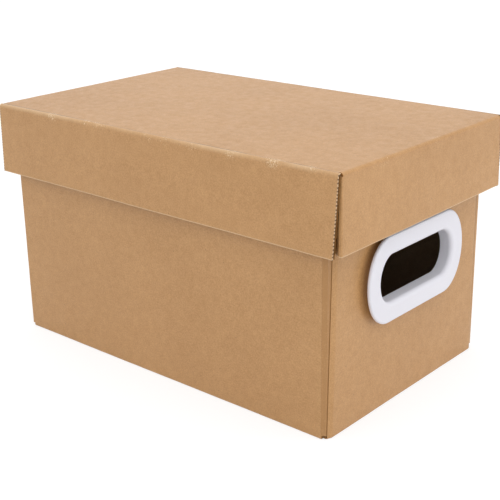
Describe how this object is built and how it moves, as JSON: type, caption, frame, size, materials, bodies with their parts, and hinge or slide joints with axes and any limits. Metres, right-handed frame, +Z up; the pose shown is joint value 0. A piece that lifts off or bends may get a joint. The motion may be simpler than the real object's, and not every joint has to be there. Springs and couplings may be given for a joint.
{
  "type": "archival box",
  "caption": "Archival box of brown kraft corrugated board with a lift-off lid and a moulded white finger grip in each end.",
  "frame": {"origin": "middle of the underside of the base", "axes": "+X along the box towards the right-hand grip, +Y across the box from the front long wall to the back one, +Z up"},
  "size_m": [0.2738, 0.1688, 0.1541],
  "materials": {
    "kraft_board": "matte uncoated kraft paper",
    "white_plastic": "smooth satin moulded plastic"
  },
  "bodies": {
    "base": {"base_bottom": "kraft_board", "base_front_wall": "kraft_board", "base_back_wall": "kraft_board", "base_right_wall": "kraft_board", "base_left_wall": "kraft_board", "base_flap_front_right": "kraft_board", "base_flap_front_left": "kraft_board", "base_flap_back_right": "kraft_board", "base_flap_back_left": "kraft_board", "right_grip_bezel": "white_plastic", "right_grip_clip": "white_plastic", "left_grip_bezel": "white_plastic", "left_grip_clip": "white_plastic"},
    "lid": {"lid_top": "kraft_board", "lid_front_skirt": "kraft_board", "lid_back_skirt": "kraft_board", "lid_right_skirt": "kraft_board", "lid_left_skirt": "kraft_board", "lid_flap_front_right": "kraft_board", "lid_flap_front_left": "kraft_board", "lid_flap_back_right": "kraft_board", "lid_flap_back_left": "kraft_board"}
  },
  "joints": [
    {"name": "lid_lift", "type": "slide", "parent": "base", "child": "lid", "axis": [0, 0, 1], "range_m": [0, 0.06]}
  ]
}
